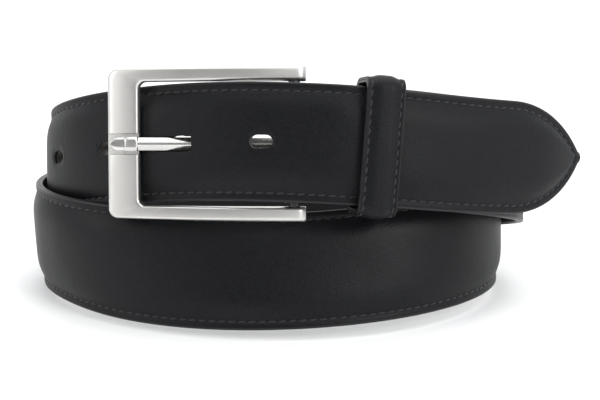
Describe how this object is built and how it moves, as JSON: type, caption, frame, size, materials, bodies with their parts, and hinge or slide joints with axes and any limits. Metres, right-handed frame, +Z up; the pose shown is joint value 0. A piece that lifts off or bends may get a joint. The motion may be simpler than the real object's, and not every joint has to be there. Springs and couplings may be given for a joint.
{
  "type": "leather dress belt",
  "caption": "Padded black leather dress belt, buckled and coiled into a loop, with a satin metal frame buckle, a pointed tip, punched holes, edge stitching and a leather keeper.",
  "frame": {"origin": "centre of the bounding box in plan, at the level the belt stands on", "axes": "+Z up; +X to the right along the coil's long direction as seen from the buckle side, the way the tip points; the buckle faces -Y"},
  "size_m": [0.1831, 0.1272, 0.0807],
  "materials": {
    "black_leather": "finely grained, semi-matt, with painted edges",
    "lining_leather": "smooth, matt",
    "strap_padding": "bonded felt, matt",
    "black_thread": "waxed thread, soft sheen",
    "satin_nickel": "satin nickel plate",
    "polished_nickel": "polished nickel plate",
    "steel_wire": "drawn wire"
  },
  "bodies": {
    "strap": {"strap_outer_leather": "black_leather", "strap_padding_core": "strap_padding", "strap_lining": "lining_leather", "strap_stitching_upper": "black_thread", "strap_stitching_lower": "black_thread", "turned_end_stitching": "black_thread"},
    "buckle": {"buckle_frame": "satin_nickel", "buckle_cross_bar": "satin_nickel"},
    "prong": {"prong": "polished_nickel"},
    "keeper": {"keeper_outer_leather": "black_leather", "keeper_padding": "strap_padding", "keeper_lining": "lining_leather", "keeper_stitching_left": "black_thread", "keeper_stitching_right": "black_thread", "keeper_staple": "steel_wire"}
  },
  "joints": [
    {"name": "buckle_rock", "type": "hinge", "parent": "strap", "child": "buckle", "pos_m": [-0.00175, -0.04973, 0.05758], "axis": [0, 0.1822, 0.9833], "range_deg": [0, 1.2]},
    {"name": "prong_lift", "type": "hinge", "parent": "buckle", "child": "prong", "pos_m": [-0.00175, -0.04973, 0.05758], "axis": [0, 0.1822, 0.9833], "range_deg": [0, 1]},
    {"name": "keeper_slide", "type": "hinge", "parent": "strap", "child": "keeper", "pos_m": [0.00289, 0.04152, 0.03972], "axis": [0.0736, 0.1966, 0.9777], "range_deg": [-2.99, 4.79]}
  ]
}
